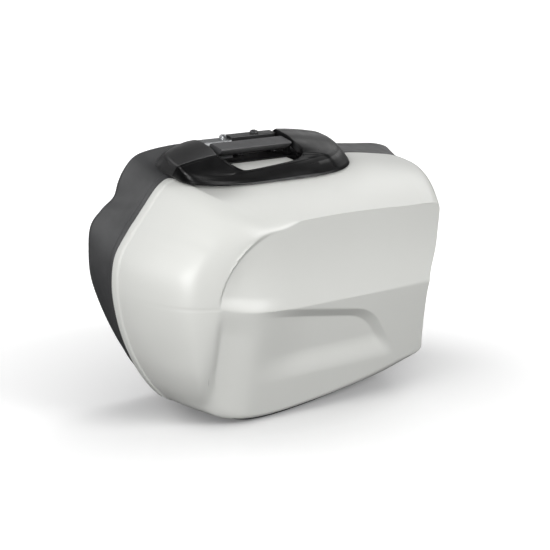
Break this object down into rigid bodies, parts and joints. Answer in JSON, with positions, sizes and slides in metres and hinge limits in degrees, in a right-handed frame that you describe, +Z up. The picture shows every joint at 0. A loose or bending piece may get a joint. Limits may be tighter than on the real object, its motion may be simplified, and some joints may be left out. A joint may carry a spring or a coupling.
{
  "type": "motorcycle side case",
  "caption": "Rigid motorcycle side case that stands on its own feet: painted outer shell on a bottom hinge, inner shell with carrier sockets, grip and latch block on top.",
  "frame": {"origin": "on the floor under the middle of the case's length and depth", "axes": "+X towards the tail of the case, -Y out of the painted face, +Y towards the motorcycle, +Z up"},
  "size_m": [0.5824, 0.2473, 0.4072],
  "materials": {
    "painted_shell": "satin light warm grey-white lacquer over moulded plastic",
    "black_shell": "matt black, fine moulded grain",
    "bezel_plastic": "satin black moulding",
    "cover_plastic": "satin black moulding",
    "grip_plastic": "matt charcoal grip",
    "lever_plastic": "satin black",
    "knob_plastic": "satin black",
    "black_nylon": "matt glass-filled nylon",
    "frame_plastic": "matt black, grained",
    "buckle_plastic": "semi-gloss black",
    "seal_rubber": "matt black",
    "socket_rubber": "matt black",
    "foot_rubber": "matt black",
    "webbing": "woven black webbing",
    "steel": "bright zinc-plated",
    "dark_screw": "black-oxide steel",
    "zinc": "satin die-cast zinc",
    "lock_metal": "satin silver",
    "cylinder_metal": "polished"
  },
  "bodies": {
    "case": {"inner_shell": "black_shell", "rim_seal": "seal_rubber", "hinge_brackets": "black_nylon", "hinge_pins": "steel", "hinge_screws": "dark_screw", "carrier_sockets": "socket_rubber", "socket_screws": "dark_screw", "inner_feet": "foot_rubber", "latch_chassis": "black_nylon", "chassis_screws": "dark_screw", "grip_bezel": "bezel_plastic", "left_cover": "cover_plastic", "slot_panel": "painted_shell", "lock_housing": "lock_metal", "grip_pin": "steel", "lever_pin": "steel", "lever_spring": "steel", "hook_block": "black_nylon", "hook_pin": "steel", "catch_bracket": "black_nylon", "catch_rod": "steel", "strap_anchors": "black_nylon", "cargo_straps": "webbing", "strap_buckle": "buckle_plastic", "check_straps": "webbing"},
    "lid": {"outer_shell": "painted_shell", "lid_frame": "frame_plastic", "hinge_arms": "black_nylon", "lid_keeper": "zinc", "outer_foot": "foot_rubber", "frame_screws": "dark_screw"},
    "handle": {"carry_handle": "grip_plastic"},
    "lever": {"open_lever": "lever_plastic", "lever_knob": "knob_plastic"},
    "catch": {"lid_catch": "zinc"},
    "hook": {"carrier_hook": "zinc"},
    "lock": {"lock_cylinder": "cylinder_metal"}
  },
  "joints": [
    {"name": "lid_hinge", "type": "hinge", "parent": "case", "child": "lid", "pos_m": [-0.0105, 0.034, 0.009], "axis": [1, 0, 0], "range_deg": [0, 60], "deforming": ["check_straps"]},
    {"name": "handle_lift", "type": "hinge", "parent": "case", "child": "handle", "pos_m": [-0.0105, 0.026, 0.384], "axis": [-1, 0, 0], "range_deg": [0, 55]},
    {"name": "lever_pull", "type": "hinge", "parent": "case", "child": "lever", "pos_m": [-0.0105, 0.058, 0.385], "axis": [-1, 0, 0], "range_deg": [0, 25], "stiffness_Nm_per_rad": 0.3, "springref_deg": -11.46},
    {"name": "catch_swing", "type": "hinge", "parent": "case", "child": "catch", "pos_m": [-0.0105, 0.048, 0.324], "axis": [-1, 0, 0], "range_deg": [0, 12]},
    {"name": "hook_swing", "type": "hinge", "parent": "case", "child": "hook", "pos_m": [-0.0105, 0.11, 0.326], "axis": [-1, 0, 0], "range_deg": [0, 15]},
    {"name": "key_turn", "type": "hinge", "parent": "case", "child": "lock", "pos_m": [-0.085, 0.054, 0.374], "axis": [0, 0, 1], "range_deg": [0, 90]}
  ],
  "couplings": [
    {"joint": "catch_swing", "follows": "lever_pull", "ratio": 0.48},
    {"joint": "hook_swing", "follows": "handle_lift", "ratio": 0.27273}
  ]
}
